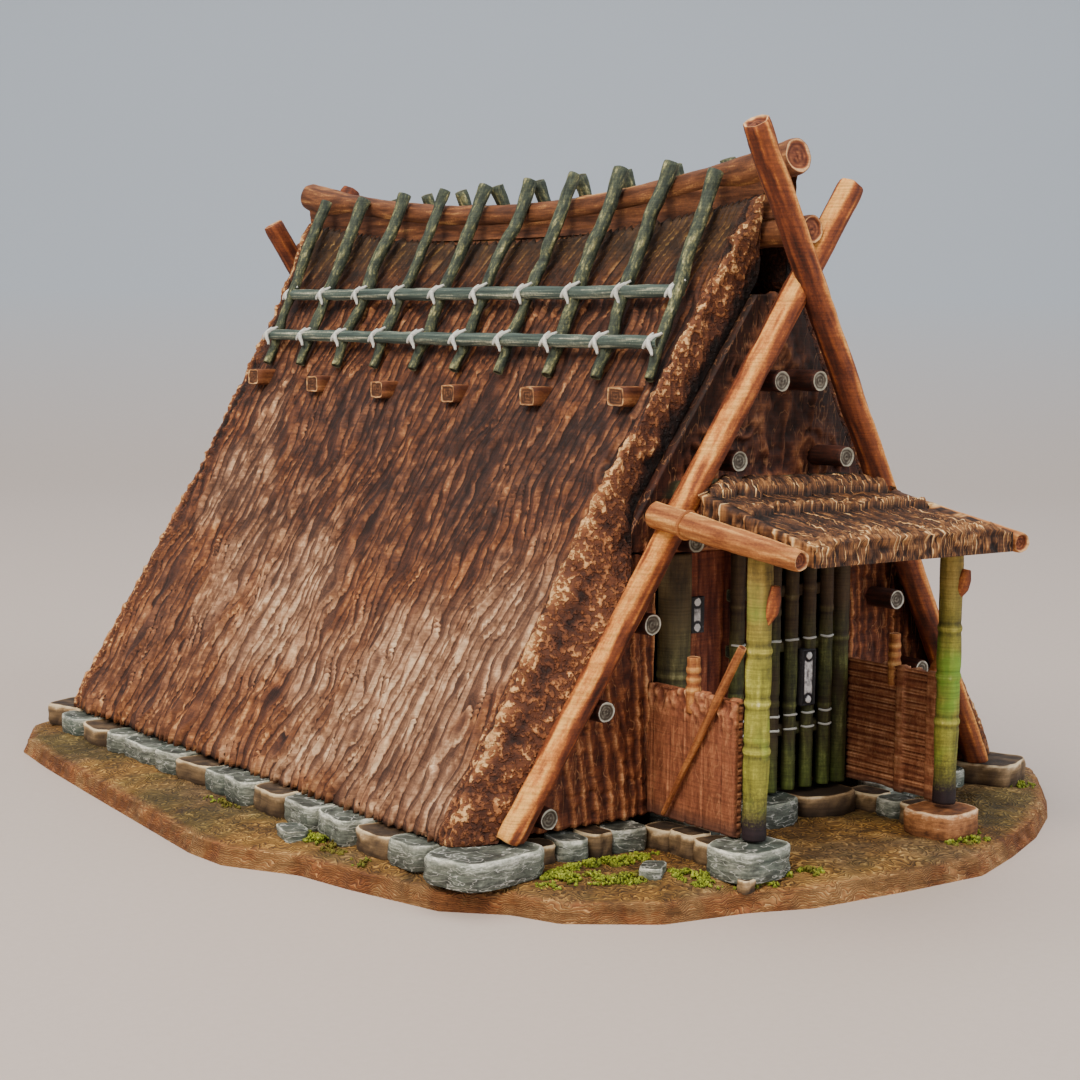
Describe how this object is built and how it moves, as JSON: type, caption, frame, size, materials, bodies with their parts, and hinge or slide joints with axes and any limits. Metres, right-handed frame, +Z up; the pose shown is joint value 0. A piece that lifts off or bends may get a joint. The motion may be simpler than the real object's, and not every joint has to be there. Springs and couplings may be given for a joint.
{
  "type": "thatched farmhouse model",
  "caption": "Tabletop scenery model of a thatched A-frame farmhouse with crossed rake logs, porch and sliding door leaves on a stone-edged earth base.",
  "frame": {"origin": "on the flat underside of the earth base, below the middle of the house", "axes": "+Z up, ridge along Y, entrance gable and porch facing -Y, +X to the right of someone facing the entrance"},
  "size_m": [0.1477, 0.181, 0.1085],
  "materials": {
    "earth": "hand-painted print, matt",
    "stone": "hand-painted print, matt with pale drybrushed edges",
    "rust_stone": "hand-painted print, matt",
    "thatch": "hand-painted print, matt with cream drybrushing",
    "porch_thatch": "hand-painted print, matt with cream drybrushing",
    "brown_log": "hand-painted print, matt",
    "green_pole": "hand-painted print, matt",
    "wall_board": "hand-painted print, matt",
    "bamboo": "hand-painted print, slight sheen",
    "red_board": "hand-painted print, matt"
  },
  "bodies": {
    "house": {"back_rake_long": "brown_log", "back_rake_short": "brown_log", "back_wall": "wall_board", "door_column": "bamboo", "door_jamb": "bamboo", "earth_base": "earth", "front_rake_long": "brown_log", "front_rake_short": "brown_log", "front_wall_left": "wall_board", "front_wall_right": "wall_board", "front_wall_upper": "wall_board", "porch_brace_left": "brown_log", "porch_brace_right": "brown_log", "porch_post_left": "bamboo", "porch_post_right": "bamboo", "porch_rail_left": "brown_log", "porch_rail_right": "brown_log", "porch_roof": "porch_thatch", "porch_screen_left": "red_board", "porch_screen_right": "red_board", "porch_stones_left": "stone", "porch_stones_right": "rust_stone", "ridge_log_lower": "brown_log", "ridge_log_top": "brown_log", "ridge_neck": "brown_log", "saddle_frame_left": "green_pole", "saddle_frame_right": "green_pole", "stones_back": "stone", "stones_front_left": "stone", "stones_front_right": "stone", "stones_left": "stone", "stones_right": "stone", "thatch_left": "thatch", "thatch_right": "thatch", "threshold_stone": "stone", "tie_beam_1": "brown_log", "tie_beam_2": "brown_log", "tie_beam_3": "brown_log", "tie_beam_4": "brown_log", "tie_beam_5": "brown_log", "tie_beam_6": "brown_log"},
    "bamboo_leaf": {"bamboo_door": "bamboo"},
    "board_leaf": {"board_door": "red_board"}
  },
  "joints": [
    {"name": "bamboo_door_slide", "type": "slide", "parent": "house", "child": "bamboo_leaf", "axis": [-1, 0, 0], "range_m": [0, 0.008]},
    {"name": "board_door_slide", "type": "slide", "parent": "house", "child": "board_leaf", "axis": [1, 0, 0], "range_m": [0, 0.0125]}
  ]
}
